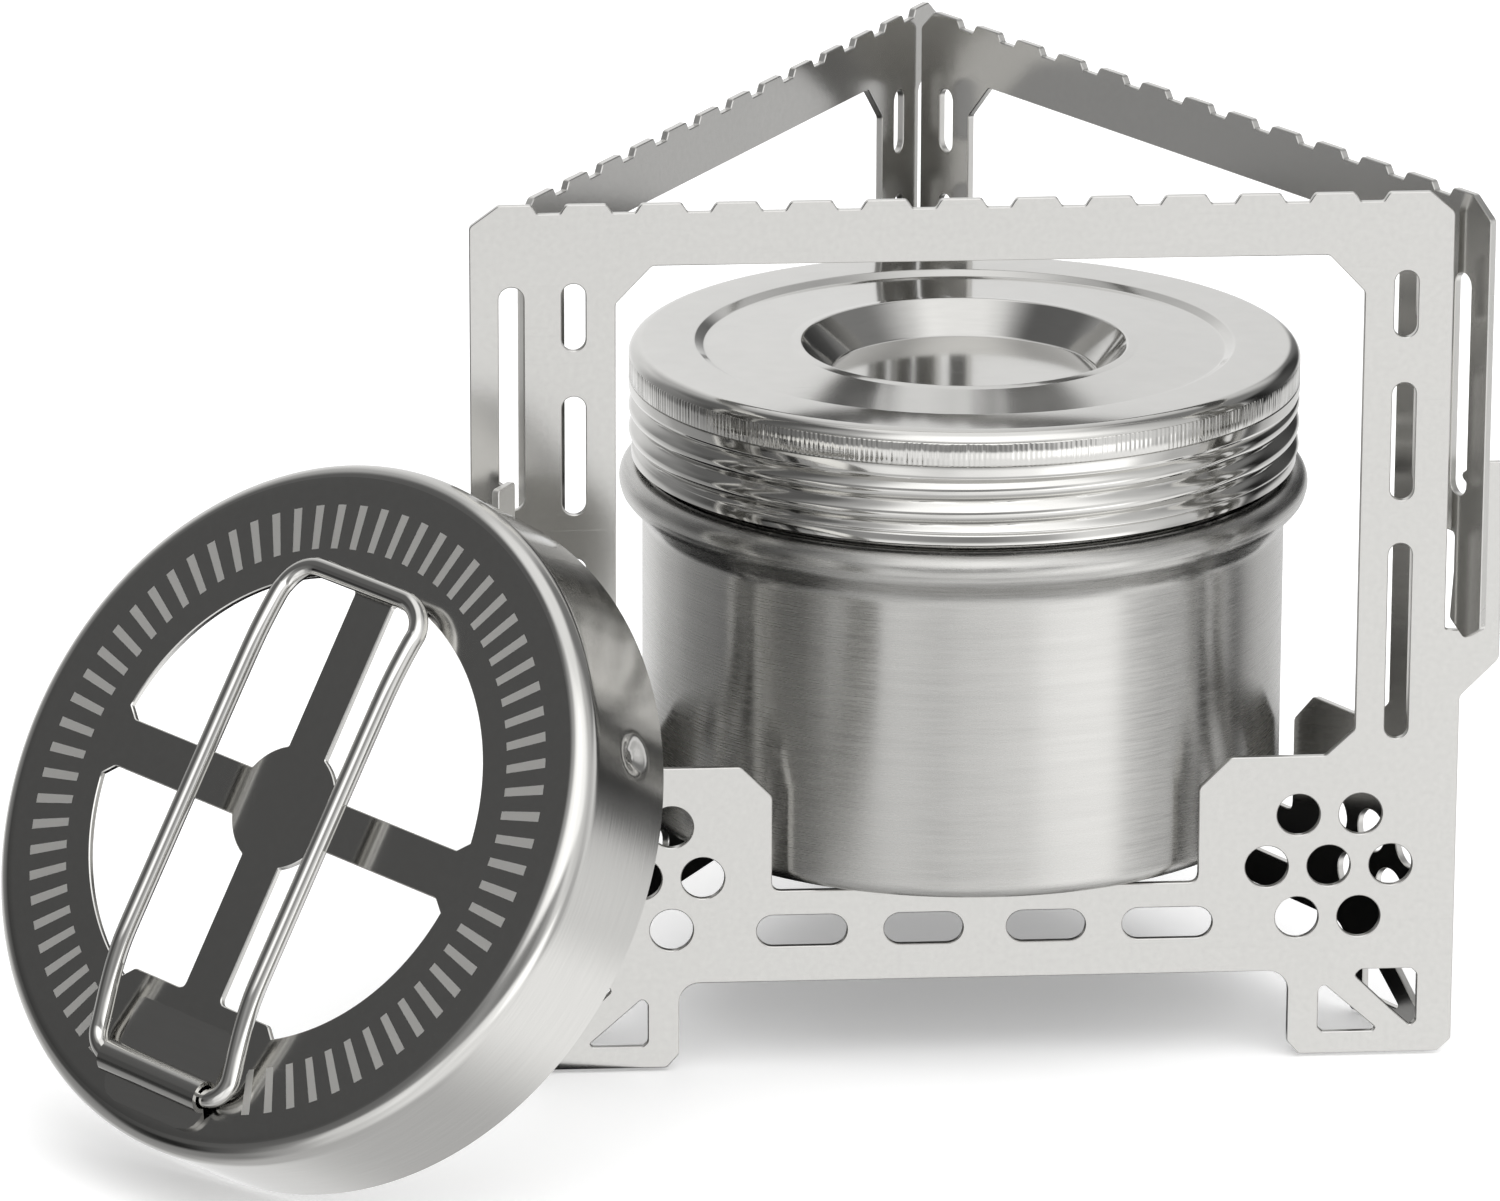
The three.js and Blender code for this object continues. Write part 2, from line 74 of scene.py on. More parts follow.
# burner: base, body radius, flare under the shoulder bead, the bead's own circle, and the neck
BASE_Z, BODY_R = 19.8, 34.5
FLARE_Z, FLARE_OUT, FLARE_UP = 52, 2.35, 3.9
BEAD_R, BEAD_Z, BEAD_ROUND = 35.2, 56.52, 1.78
NECK_R, NECK_CREST = 33.9, 34.45

# lid: rolled thread, and the knurled band let into its edge
THREAD_PITCH, THREAD_FADE = 2.5, 0.8
LID_GROOVE, LID_CREST = 35.22, 35.96
KNURL_R, KNURL_STROKES = 35.95, 420

# flame regulator: cap, its grille, and how it leans. It stands on the radius of the CAD cap.
CAP_R, CAP_DEEP, CAP_SHEET, CAP_ROLL = 37.02, 14.2, 0.7, 2.2
CAP_STANDS_ON, FACE_R = 37.1, 33.9
GRILLE_R, SPOKE, HUB, LAND_Y, LAND_X = 24.5, 2.6, 6.5, 20.9, 9.5
CAP_YAW, CAP_LEAN, CAP_SPIN = math.radians(43.2), math.radians(30.4), math.radians(-5.6)
CAP_OFFSET = Vector((-74.5, -56.55, 0))
DIMPLE_TURNS, DIMPLE_Z, DIMPLE_R = (30, 150, 270), -8.8, 3.0

# folding handle and its clip, in the regulator's own axes
HINGE_Y, HINGE_Z, WIRE_R = -30.1, 1.45, 1.0
HANDLE_HALF, HANDLE_TOP, HINGE_BEND, TOP_BEND = 9.4, 24.0, 2.6, 3.6
CLIP_HALF, CLIP_SHEET, CLIP_BORE, CLIP_MIDDLE = 6.9, 0.45, 1.25, 0.475
CLIP_OUT, CLIP_IN, CLIP_OUT_ROUND, CLIP_IN_ROUND = -34.1, -23.2, 2.4, 1.0
CLIP_COLUMNS = 12


# =============================================================== mesh helpers
def finish_mesh(name, bm, materials, sharp=35, place=None):
    """Turns a bmesh in millimetres into a smooth-shaded object with its sharp edges marked."""
    bmesh.ops.remove_doubles(bm, verts=bm.verts, dist=1e-4)
    bmesh.ops.recalc_face_normals(bm, faces=bm.faces)
    if bm.calc_volume(signed=True) < 0:
        bmesh.ops.reverse_faces(bm, faces=bm.faces)
    limit = math.radians(sharp)
    for e in bm.edges:
        e.smooth = len(e.link_faces) == 2 and e.calc_face_angle(0) < limit
    for f in bm.faces:
        f.smooth = True
    bmesh.ops.scale(bm, vec=(MM, MM, MM), verts=bm.verts)
    if place is not None:
        bmesh.ops.transform(bm, matrix=place, verts=bm.verts)
    mesh = bpy.data.meshes.new(name)
    bm.to_mesh(mesh)
    bm.free()
    for m in materials:
        mesh.materials.append(m)
    obj = bpy.data.objects.new(name, mesh)
    bpy.context.scene.collection.objects.link(obj)
    return obj


def placed(matrix):
    """A placement given in millimetres, in metres."""
    out = matrix.copy()
    out.translation = matrix.translation * MM
    return out


def arc(cx, cy, r, start, end, steps):
    """Points on a circle, angles in degrees."""
    out = []
    for i in range(steps + 1):
        a = math.radians(start + (end - start) * i / steps)
        out.append((cx + r * math.cos(a), cy + r * math.sin(a)))
    return out


# Half a corner's angle, in degrees, from which the corner is left as it is.
NEARLY_STRAIGHT = 88


def eased(points, steps=4, closed=True):
    """Rounds each (x, y, radius) corner of a line; (x, y) points are kept."""
    out = []
    n = len(points)
    for i, p in enumerate(points):
        r = p[2] if len(p) > 2 else 0
        if r == 0 or (not closed and i in (0, n - 1)):
            out.append((p[0], p[1]))
            continue
        here = Vector(p[:2])
        a = Vector(points[i - 1][:2]) - here
        b = Vector(points[(i + 1) % n][:2]) - here
        la, lb = a.length, b.length
        a.normalize()
        b.normalize()
        half = a.angle(b) / 2
        if half > math.radians(NEARLY_STRAIGHT):
            out.append((p[0], p[1]))
            continue
        cut = min(r / math.tan(half), la * 0.48, lb * 0.48)
        start, end = here + a * cut, here + b * cut
        for k in range(steps + 1):
            t = k / steps
            q = start * (1 - t) ** 2 + here * 2 * t * (1 - t) + end * t**2
            out.append((q.x, q.y))
    return out


def area(loop):
    """Area inside a closed line, positive when it runs anticlockwise."""
    return sum(a[0] * b[1] - b[0] * a[1] for a, b in zip(loop, loop[1:] + loop[:1])) / 2


def wound(loop, ccw):
    """The same line, running anticlockwise or clockwise as asked."""
    return loop if (area(loop) > 0) == ccw else loop[::-1]


def inset(loop, d):
    """Moves a closed line to its left by d."""
    out = []
    n = len(loop)
    for i in range(n):
        p0, p1, p2 = (Vector(loop[j % n]) for j in (i - 1, i, i + 1))
        d0, d1 = (p1 - p0).normalized(), (p2 - p1).normalized()
        n0, n1 = Vector((-d0.y, d0.x)), Vector((-d1.y, d1.x))
        q = p1 + (n0 + n1) * (d / max(1 + n0.dot(n1), 0.35))
        out.append((q.x, q.y))
    return out


def no_repeats(loop, least=0.004):
    """A closed line without points that lie on the one before."""
    out = []
    for p in loop:
        if not out or math.dist(p, out[-1]) > least:
            out.append(p)
    while math.dist(out[0], out[-1]) <= least:
        out.pop()
    return out


def bridge(bm, a, b, material=0):
    """Joins two closed rows of vertices with a band of faces."""
    n = len(a)
    for i in range(n):
        j = (i + 1) % n
        bm.faces.new((a[i], a[j], b[j], b[i])).material_index = material


def fill(bm, loops, normal):
    """Fills flat loops of vertices, the first outside and the others holes."""
    edges = []
    for loop in loops:
        for i, v in enumerate(loop):
            w = loop[(i + 1) % len(loop)]
            edges.append(bm.edges.get((v, w)) or bm.edges.new((v, w)))
    bmesh.ops.triangle_fill(bm, use_beauty=True, use_dissolve=False, edges=edges, normal=normal)


def sheet(bm, loops, low, high, broken=EDGE_BREAK, keep_outer=False):
    """A flat sheet cut to loops between two heights, with its cut edges lightly broken.
    Cut edges take material 1. With keep_outer the outer line is left open for other faces."""
    tops, bottoms = [], []
    for k, loop in enumerate(loops):
        loop = wound(no_repeats(loop), k == 0)
        if k == 0 and keep_outer:
            tops.append([bm.verts.new((x, y, high)) for x, y in loop])
            bottoms.append([bm.verts.new((x, y, low)) for x, y in loop])
            continue
        inner = inset(loop, broken)
        rings = [(inner, high), (loop, high - broken), (loop, low + broken), (inner, low)]
        rows = [[bm.verts.new((x, y, z)) for x, y in ring] for ring, z in rings]
        for a, b in zip(rows, rows[1:]):
            bridge(bm, a, b, 1)
        tops.append(rows[0])
        bottoms.append(rows[-1])
    fill(bm, tops, Vector((0, 0, 1)))
    fill(bm, bottoms, Vector((0, 0, -1)))
    return tops[0], bottoms[0]


def turned(bm, rows, segments, shape=None, closed=False, material=None):
    """Turns (r, z) rows about Z. shape(r, z, angle) may move the radius. Rows at r 0 become one point."""
    rings = []
    for r, z in rows:
        if r < 1e-6:
            rings.append([bm.verts.new((0, 0, z))])
            continue
        ring = []
        for i in range(segments):
            a = TAU * i / segments
            q = shape(r, z, a) if shape else r
            ring.append(bm.verts.new((q * math.cos(a), q * math.sin(a), z)))
        rings.append(ring)
    pairs = list(zip(rings, rings[1:])) + ([(rings[-1], rings[0])] if closed else [])
    for k, (a, b) in enumerate(pairs):
        index = material(k) if material else 0
        if len(a) == 1 or len(b) == 1:
            tip, ring = (a, b) if len(a) == 1 else (b, a)
            for i in range(segments):
                bm.faces.new((tip[0], ring[i], ring[(i + 1) % segments])).material_index = index
        else:
            bridge(bm, a, b, index)
    return rings


def smoothstep(t):
    """Eases from 0 to 1, flat at both ends."""
    t = min(max(t, 0), 1)
    return t * t * (3 - 2 * t)


def cap_place():
    """Where the leaning regulator stands: its local Z is the way its face looks."""
    level = math.cos(CAP_LEAN)
    n = Vector((-math.sin(CAP_YAW) * level, -math.cos(CAP_YAW) * level, math.sin(CAP_LEAN)))
    a = Vector((math.cos(CAP_YAW), -math.sin(CAP_YAW), 0))
    u = n.cross(a)
    c = AXIS + CAP_OFFSET
    c.z = CAP_DEEP * math.sin(CAP_LEAN) + CAP_STANDS_ON * level
    place = Matrix(((a.x, u.x, n.x, c.x), (a.y, u.y, n.y, c.y), (a.z, u.z, n.z, c.z), (0, 0, 0, 1)))
    return placed(place @ Matrix.Rotation(CAP_SPIN, 4, "Z"))


CAP_PLACE = cap_place()


# =============================================================== materials
class Nodes:
    """Shorthand for building one material's node tree."""

    def __init__(self, name, place=None):
        self.material = bpy.data.materials.new(name)
        self.material.use_nodes = True
        self.tree = self.material.node_tree
        self.tree.nodes.clear()
        self.out = self.add("ShaderNodeOutputMaterial")
        self.shader = self.add("ShaderNodeBsdfPrincipled")
        self.link(self.shader.outputs[0], self.out.inputs[0])
        self.where = self.add("ShaderNodeTexCoord").outputs["Object"]
        if place is not None:
            back = self.add("ShaderNodeMapping", vector_type="TEXTURE")
            back.inputs["Location"].default_value = place.to_translation()
            back.inputs["Rotation"].default_value = place.to_euler()
            self.link(self.where, back.inputs["Vector"])
            self.where = back.outputs[0]

    def add(self, kind, **settings):
        node = self.tree.nodes.new(kind)
        for key, value in settings.items():
            setattr(node, key, value)
        return node

    def link(self, a, b):
        self.tree.links.new(a, b)

    def scaled(self, scale, turn=(0, 0, 0)):
        m = self.add("ShaderNodeMapping")
        m.inputs["Scale"].default_value = scale
        m.inputs["Rotation"].default_value = turn
        self.link(self.where, m.inputs["Vector"])
        return m.outputs[0]

    def noise(self, scale, detail=3, rough=0.55, turn=(0, 0, 0)):
        """Noise with its own scale per axis, in cycles per metre."""
        n = self.add("ShaderNodeTexNoise")
        n.inputs["Scale"].default_value = 1
        n.inputs["Detail"].default_value = detail
        n.inputs["Roughness"].default_value = rough
        self.link(self.scaled(scale, turn), n.inputs["Vector"])
        return n.outputs["Fac"]

    def ramp(self, value, stops):
        r = self.add("ShaderNodeValToRGB")
        r.color_ramp.elements[0].position = stops[0][0]
        r.color_ramp.elements[0].color = grey(stops[0][1])
        r.color_ramp.elements[1].position = stops[-1][0]
        r.color_ramp.elements[1].color = grey(stops[-1][1])
        for at, tone in stops[1:-1]:
            r.color_ramp.elements.new(at).color = grey(tone)
        self.link(value, r.inputs[0])
        return r.outputs[0]

    def math(self, kind, a, b=0.0):
        m = self.add("ShaderNodeMath", operation=kind)
        for socket, v in zip(m.inputs, (a, b)):
            if isinstance(v, (int, float)):
                socket.default_value = v
            else:
                self.link(v, socket)
        return m.outputs[0]

    def mix(self, fac, a, b):
        m = self.add("ShaderNodeMix", data_type="RGBA")
        for socket, v in ((m.inputs[0], fac), (m.inputs[6], a), (m.inputs[7], b)):
            if isinstance(v, (int, float, tuple)):
                socket.default_value = v
            else:
                self.link(v, socket)
        return m.outputs[2]

    def bump(self, height, strength, distance):
        b = self.add("ShaderNodeBump")
        b.inputs["Strength"].default_value = strength
        b.inputs["Distance"].default_value = distance
        self.link(height, b.inputs["Height"])
        previous = self.shader.inputs["Normal"]
        if previous.is_linked:
            self.link(previous.links[0].from_socket, b.inputs["Normal"])
        self.link(b.outputs[0], previous)

    def set(self, **values):
        for key, value in values.items():
            self.shader.inputs[key.replace("_", " ")].default_value = value


def grey(tone):
    """A colour from one tone, very slightly warm, or from a colour of its own."""
    if isinstance(tone, (int, float)):
        return (tone, tone * 0.99, tone * 0.96, 1)
    return (*tone, 1)


def spread(nodes, value, low, high, at=(0.3, 0.7)):
    """Maps a 0-1 texture to a range."""
    m = nodes.add("ShaderNodeMapRange")
    m.inputs["From Min"].default_value, m.inputs["From Max"].default_value = at
    m.inputs["To Min"].default_value, m.inputs["To Max"].default_value = low, high
    nodes.link(value, m.inputs["Value"])
    return m.outputs[0]


# Height of the surface grain, in metres.
GRAIN_HEIGHT = 0.000012


def metal(name, tone, rough, vary=0.03, aniso=0.0, grain=(900, 900, 900), grain_depth=0.3, smudge=0.05,
          place=None):
    """Steel with fine grain, faint smudges and hair scratches. Grain is in cycles per metre."""
    n = Nodes(name, place)
    n.set(Metallic=1.0, Anisotropic=aniso, Anisotropic_Rotation=0.25 if aniso else 0.0)
    fine = n.noise(grain, 2, 0.6)
    cloud = n.noise((28, 28, 28), 4, 0.6)
    scratch = n.noise((60, 5200, 5200), 1, 0.5, (0.2, 0.5, 0.6))
    lines = spread(n, scratch, 0.0, 1.0, (0.70, 0.76))
    base = n.ramp(cloud, [(0.3, tone * (1 - smudge)), (0.7, tone)])
    speck = n.ramp(fine, [(0.25, tone * 0.93), (0.75, tone * 1.03)])
    n.link(n.mix(0.5, base, speck), n.shader.inputs["Base Color"])
    wave = spread(n, cloud, rough - vary, rough + vary)
    hair = n.math("MULTIPLY", lines, 0.05)
    n.link(n.math("ADD", wave, hair), n.shader.inputs["Roughness"])
    n.bump(fine, grain_depth, GRAIN_HEIGHT)
    return n


def radial(n):
    """Lets the brushing run round the local Z axis."""
    t = n.add("ShaderNodeTangent", direction_type="RADIAL", axis="Z")
    n.link(t.outputs[0], n.shader.inputs["Tangent"])


def steel_sheet():
    return metal("sheet_steel", 0.58, 0.19, 0.035, 0.0, (1500, 1500, 1500), 0.25, 0.05).material


def cut_edge():
    return metal("sheet_cut_edge", 0.74, 0.3, 0.06, 0.0, (3000, 3000, 900), 0.6, 0.08).material


def brushed_steel():
    """Body of the burner, brushed round its girth with short level strokes."""
    n = Nodes("brushed_steel")
    n.set(Metallic=1.0, Anisotropic=0.88, Anisotropic_Rotation=0.25)
    strokes = n.noise((190, 190, 5200), 3, 0.7)
    wide = n.noise((60, 60, 1100), 2, 0.6)
    cloud = n.noise((28, 28, 28), 4, 0.6)
    tone = n.ramp(strokes, [(0.3, 0.44), (0.5, 0.54), (0.7, 0.62)])
    worn = n.ramp(wide, [(0.3, 0.49), (0.7, 0.58)])
    n.link(n.mix(0.35, tone, worn), n.shader.inputs["Base Color"])
    rough = n.math("ADD", spread(n, strokes, 0.21, 0.33), spread(n, cloud, -0.02, 0.02))
    n.link(rough, n.shader.inputs["Roughness"])
    n.bump(strokes, 0.3, GRAIN_HEIGHT)
    radial(n)
    return n.material


def polished_steel():
    """Lid and neck, polished on a lathe."""
    n = metal("polished_steel", 0.68, 0.105, 0.02, 0.3, (260, 260, 2600), 0.035, 0.04)
    radial(n)
    return n.material


def wire_steel():
    return metal("wire_steel", 0.74, 0.05, 0.015, 0.0, (300, 300, 300), 0.12, 0.05).material


# Depth of the face that is etched, and the part left clear under the clip, in metres.
FACE_DEPTH, CLEAR_HALF, CLEAR_TOP = 0.0003, 0.0096, -0.02


def etched_ring(n, inner, outer, count, fill_share):
    """Mask of evenly spaced short radial bars, like a plain dial's graduation, about local Z.
    It is on the face only, and left clear under the clip. inner and outer are in metres."""
    xyz = n.add("ShaderNodeSeparateXYZ")
    n.link(n.where, xyz.inputs[0])
    x, y, z = xyz.outputs
    r = n.math("SQRT", n.math("ADD", n.math("MULTIPLY", x, x), n.math("MULTIPLY", y, y)))
    band = n.math("MULTIPLY", n.math("GREATER_THAN", r, inner), n.math("LESS_THAN", r, outer))
    turn = n.math("DIVIDE", n.math("ARCTAN2", y, x), TAU)
    saw = n.math("FRACT", n.math("MULTIPLY", n.math("ADD", turn, 1.0), float(count)))
    bars = n.math("LESS_THAN", saw, fill_share)
    on_face = n.math("GREATER_THAN", z, -FACE_DEPTH)
    beside = n.math("LESS_THAN", n.math("ABSOLUTE", x), CLEAR_HALF)
    below = n.math("LESS_THAN", y, CLEAR_TOP)
    clear = n.math("SUBTRACT", 1.0, n.math("MULTIPLY", beside, below))
    return n.math("MULTIPLY", n.math("MULTIPLY", band, bars), n.math("MULTIPLY", on_face, clear))


def regulator_steel():
    """Dark face of the regulator with its etched graduation."""
    n = metal("regulator_steel", 0.52, 0.13, 0.02, 0.0, (900, 900, 900), 0.12, 0.05, CAP_PLACE)
    mask = etched_ring(n, inner=0.0275, outer=0.0322, count=72, fill_share=0.36)
    colour = n.shader.inputs["Base Color"]
    base = colour.links[0].from_socket
    n.link(n.mix(mask, base, grey(0.8)), colour)
    rough = n.shader.inputs["Roughness"]
    old = rough.links[0].from_socket
    n.link(n.math("ADD", old, n.math("MULTIPLY", mask, 0.5)), rough)
    return n.material


def cotton():
    n = Nodes("cotton")
    fibres = n.noise((900, 900, 2600), 5, 0.7)
    colour = n.ramp(fibres, [(0.3, (0.55, 0.52, 0.45)), (0.7, (0.84, 0.81, 0.74))])
    n.link(colour, n.shader.inputs["Base Color"])
    n.set(Roughness=0.95)
    n.bump(fibres, 0.8, 0.0002)
    return n.material


def silicone():
    n = Nodes("silicone")
    grain = n.noise((1400, 1400, 1400), 3, 0.6)
    n.link(n.ramp(grain, [(0.3, 0.016), (0.7, 0.03)]), n.shader.inputs["Base Color"])
    n.link(spread(n, grain, 0.55, 0.75), n.shader.inputs["Roughness"])
    n.bump(grain, 0.3, 0.00004)
    return n.material


SHEET_STEEL = steel_sheet()
CUT_EDGE = cut_edge()
BRUSHED = brushed_steel()
POLISHED = polished_steel()
WIRE = wire_steel()
DARK = regulator_steel()
DARK_EDGE = metal("regulator_cut_edge", 0.74, 0.2, 0.04, 0.0, (2000, 2000, 2000), 0.3).material
DRAWN = (160, 160, 3600)
SIDE = metal("regulator_side_steel", 0.64, 0.13, 0.03, 0.0, DRAWN, 0.2, 0.05, CAP_PLACE).material
# Inside of the cap: the same sheet left satin, with its tone raised as painted light so that it reads white
# through the grille.
PAINTED_LIGHT_INSIDE = metal("regulator_inner_steel_painted_light", 0.86, 0.42, 0.04, 0.0, DRAWN, 0.2, 0.05, CAP_PLACE).material
CLIP_STEEL = metal("clip_steel", 0.6, 0.15, 0.02, 0.0, (200, 1600, 900), 0.1, 0.06, CAP_PLACE).material


# =============================================================== pot stand
def toothed_edge():
    """Notches in the top edge, from right to left."""
    out = []
    floor_z = HEIGHT - NOTCH_DEEP
    for k in range(NOTCHES - 1, -1, -1):
        c = NOTCH_FIRST + NOTCH_PITCH * k
        out += [(c + NOTCH_TOP, HEIGHT, 0.5), (c + NOTCH_FLOOR, floor_z, 0.35)]
        out += [(c - NOTCH_FLOOR, floor_z, 0.35), (c - NOTCH_TOP, HEIGHT, 0.5)]
    return out


def plate_outline():
    """Outer line of a plate, anticlockwise from its right foot, with the hook at its left end."""
    return eased([
        (33.7, 0, 0.6), (48.6, 0, 0.6), (50, 1.3, 0.6), (50, 39.6, 1.2),
        (REACH, 43.7, 1.2), (REACH, 65.3, 0.5), (50.4, 65.3, 0.5), (50.4, 47.0, 0.5),
        (48.25, 47.0, 0.5), (48.25, 92.4, 0.7), (45.75, HEIGHT, 0.7),
        *toothed_edge(),
        (3 - REACH, HEIGHT, 0.7), (-REACH, 92.4, 0.7), (-REACH, 48.2, 0.6), (-51.4, 46.5, 0.8),
        (-48.9, 48.2, 0.6), (-49.4, 53.5, 1), (-49.4, 57.7, 0.6), (-47.2, 57.7, 0.6),
        (-47.2, 1.3, 0.6), (-45.8, 0, 0.6), (-33.7, 0, 0.6), (-32.4, 1.5, 0.6),
        *arc(-30.2, 7.2, 2.2, 180, 90, 10), *arc(30.2, 7.2, 2.2, 90, 0, 10), (32.4, 1.5, 0.6),
    ])


def mirrored_pair(half):
    """A line and its mirror image across the plate's middle, as one closed line."""
    return half + [(-p[0], *p[1:]) for p in reversed(half)]


def round_hole(x, y):
    """One hole of a vent cluster."""
    return arc(x, y, VENT_R, 0, 351, 39)


def upright_slot(x, low, high, r):
    """Slot with round ends between two heights."""
    return [*arc(x, high - r, r, 0, 180, 14), *arc(x, low + r, r, 180, 360, 14)]


def plate_holes():
    """Every opening of a plate: window, hook slot, side slots, vents, foot cut-outs and bar slots."""
    window = mirrored_pair([
        (22.6, 19.5, 1.0), (22.6, 30.0, 0.8), (25.9, 33.3, 0.8), (35.9, 33.3, 0.8),
        (39.0, 36.2, 0.8), (39.0, 84.0, 0.8), (35.2, 88.0, 0.8),
    ])
    holes = [eased(window)]
    holes.append([
        *arc(HOOK_SLOT_X, 61.9 + HOOK_SLOT_R, HOOK_SLOT_R, 180, 360, 16),
        *arc(HOOK_SLOT_X, 85.9 - HOOK_SLOT_R, HOOK_SLOT_R, 0, 180, 16),
        (-51.1, 64.9), (-50.5, 64.5), (-50.4, 64.2), (-50.5, 63.9), (-51.1, 63.5),
    ])
    for side in (-1, 1):
        for low, high in ((79.0, 86.2), (61.3, 74.1), (35.1, 56.6)):
            holes.append(upright_slot(SIDE_SLOT_X * side, low, high, SIDE_SLOT_R))
        x = VENT_X * side
        holes.append(round_hole(x, VENT_Y))
        for k in range(6):
            a = math.radians(60 * k)
            holes.append(round_hole(x + VENT_RING * math.cos(a), VENT_Y + VENT_RING * math.sin(a)))
        foot = [
            [(35.7, 7.1, 0.6), (35.7, 2.9, 0.5), (36.2, 2.4, 0.4), (41.6, 2.4, 0.4), (41.9, 2.8, 0.3),
             (36.5, 7.6, 0.3), (36.1, 7.6, 0.3)],
            [(40.2, 9.4, 0.5), (39.5, 8.7, 0.4), (43.4, 4.9, 0.6), (45.6, 2.9, 0.4), (46.2, 3.5, 0.4),
             (46.2, 8.8, 0.5), (45.6, 9.4, 0.5)],
        ]
        for ring in foot:
            holes.append(eased([(x * side, y, r) for x, y, r in ring]))
    for mid, length in ((-19.4, 9.6), (-6.5, 8.4), (6.5, 8.4), (19.4, 9.6)):
        end = length / 2 - BAR_SLOT_R
        right = arc(mid + end, BAR_SLOT_Y, BAR_SLOT_R, -90, 90, 14)
        left = arc(mid - end, BAR_SLOT_Y, BAR_SLOT_R, 90, 270, 14)
        holes.append(right + left)
    return holes


def stand_plate(name, turn):
    """A plate, cut flat, stood up and turned into its side of the triangle."""
    bm = bmesh.new()
    sheet(bm, [plate_outline(), *plate_holes()], -SHEET / 2, SHEET / 2)
    bmesh.ops.rotate(bm, cent=(0, 0, 0), matrix=Matrix.Rotation(math.pi / 2, 3, "X"), verts=bm.verts)
    place = Matrix.Translation(AXIS) @ Matrix.Rotation(turn * TAU / 3, 4, "Z")
    place = place @ Matrix.Translation((0, -INRADIUS, 0))
    obj = finish_mesh(name, bm, [SHEET_STEEL, CUT_EDGE], 25, placed(place))
    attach(obj, "stand")
    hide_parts(name)
    return obj


for i, plate in enumerate(("stand_front_plate", "stand_right_plate", "stand_left_plate")):
    piece = stand_plate(plate, i)
    piece.name = plate.replace("stand_", "pot_stand_")

# =============================================================== burner
BURNER_PLACE = placed(Matrix.Translation(AXIS))


def burner_body():
    """Deep-drawn cup: flat base, straight wall, flare and rolled shoulder bead, then down the inside."""
    rows = [(0, BASE_Z), (20, BASE_Z), (30, BASE_Z), (32.4, BASE_Z)]
    rows += arc(32.8, BASE_Z + 1.7, 1.7, -84, 0, 8)
    rows += [(BODY_R, h) for h in (22.5, 24, 30, 36, 42, 47, 50, FLARE_Z)]
    for k in range(1, 13):
        t = k / 12
        rows.append((BODY_R + FLARE_OUT * smoothstep(t) ** 1.15, FLARE_Z + FLARE_UP * t**0.9))
    rows += arc(BEAD_R, BEAD_Z, BEAD_ROUND, -18, 88, 12)
    rows += [(34.9, 58.28), (34.5, 58.2), (34.32, 58.0), (34.25, 57.4), (33.8, 56.4), (33.8, 40)]
    rows += [(33.8, 21.8), (33.4, 20.9), (32.6, 20.5), (0, 20.5)]
    bm = bmesh.new()
    turned(bm, rows, 288)
    obj = finish_mesh("burner_body", bm, [BRUSHED], 40, BURNER_PLACE)
    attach(obj, "burner")
    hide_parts("burner_shell")


def thread(base, crest, low, high, z0, sharp):
    """Radius of a right-hand rolled thread at a height and angle, faded in and out at its ends.
    A ridge passes height z0 at angle 0; a smaller sharp gives rounder ridges and narrower grooves."""
    def shape(r, z, a):
        if z < low or z > high:
            return r
        ridge = 0.5 + 0.5 * math.cos(TAU * ((z - z0) / THREAD_PITCH - a / TAU))
        ends = smoothstep((z - low) / THREAD_FADE) * smoothstep((high - z) / THREAD_FADE)
        return base + (crest - base) * ridge**sharp * ends
    return shape


def burner_neck():
    """Threaded neck with a rolled rim, under the lid."""
    bm = bmesh.new()
    rows = [(33.4, 50), (33.4, 56.6), (33.55, 57.1), (NECK_R, 57.6), (NECK_R, 58.4)]
    rows += [(NECK_R, 58.5 + 0.15 * k) for k in range(58)]
    rows += [(NECK_R, 68.0), *arc(33.1, 68.1, 0.8, 0, 90, 6), (32.5, 68.8), (33.2, 67.8), (33.2, 58.0)]
    rows += [(32.7, 57.3), (32.7, 50)]
    shape = thread(NECK_R, NECK_CREST, low=59.9, high=67.0, z0=61.9, sharp=1.4)
    turned(bm, rows, 192, lambda r, z, a: shape(r, z, a) if r == NECK_R else r, closed=True)
    obj = finish_mesh("burner_neck", bm, [POLISHED], 40, BURNER_PLACE)
    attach(obj, "burner")
    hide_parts("burner_collar")


burner_body()
burner_neck()


# =============================================================== lid
def knurl(r, z, a):
    """Uneven upright strokes in the outer face of the knurled band."""
    if r < KNURL_R:
        return r
    stroke = math.floor(a * KNURL_STROKES / TAU)
    depth = 0.03 + 0.035 * math.sin(stroke * 2.1) ** 2 + 0.02 * math.sin(stroke * 5.7)
    return r - depth * (0.5 - 0.5 * math.cos(a * KNURL_STROKES))


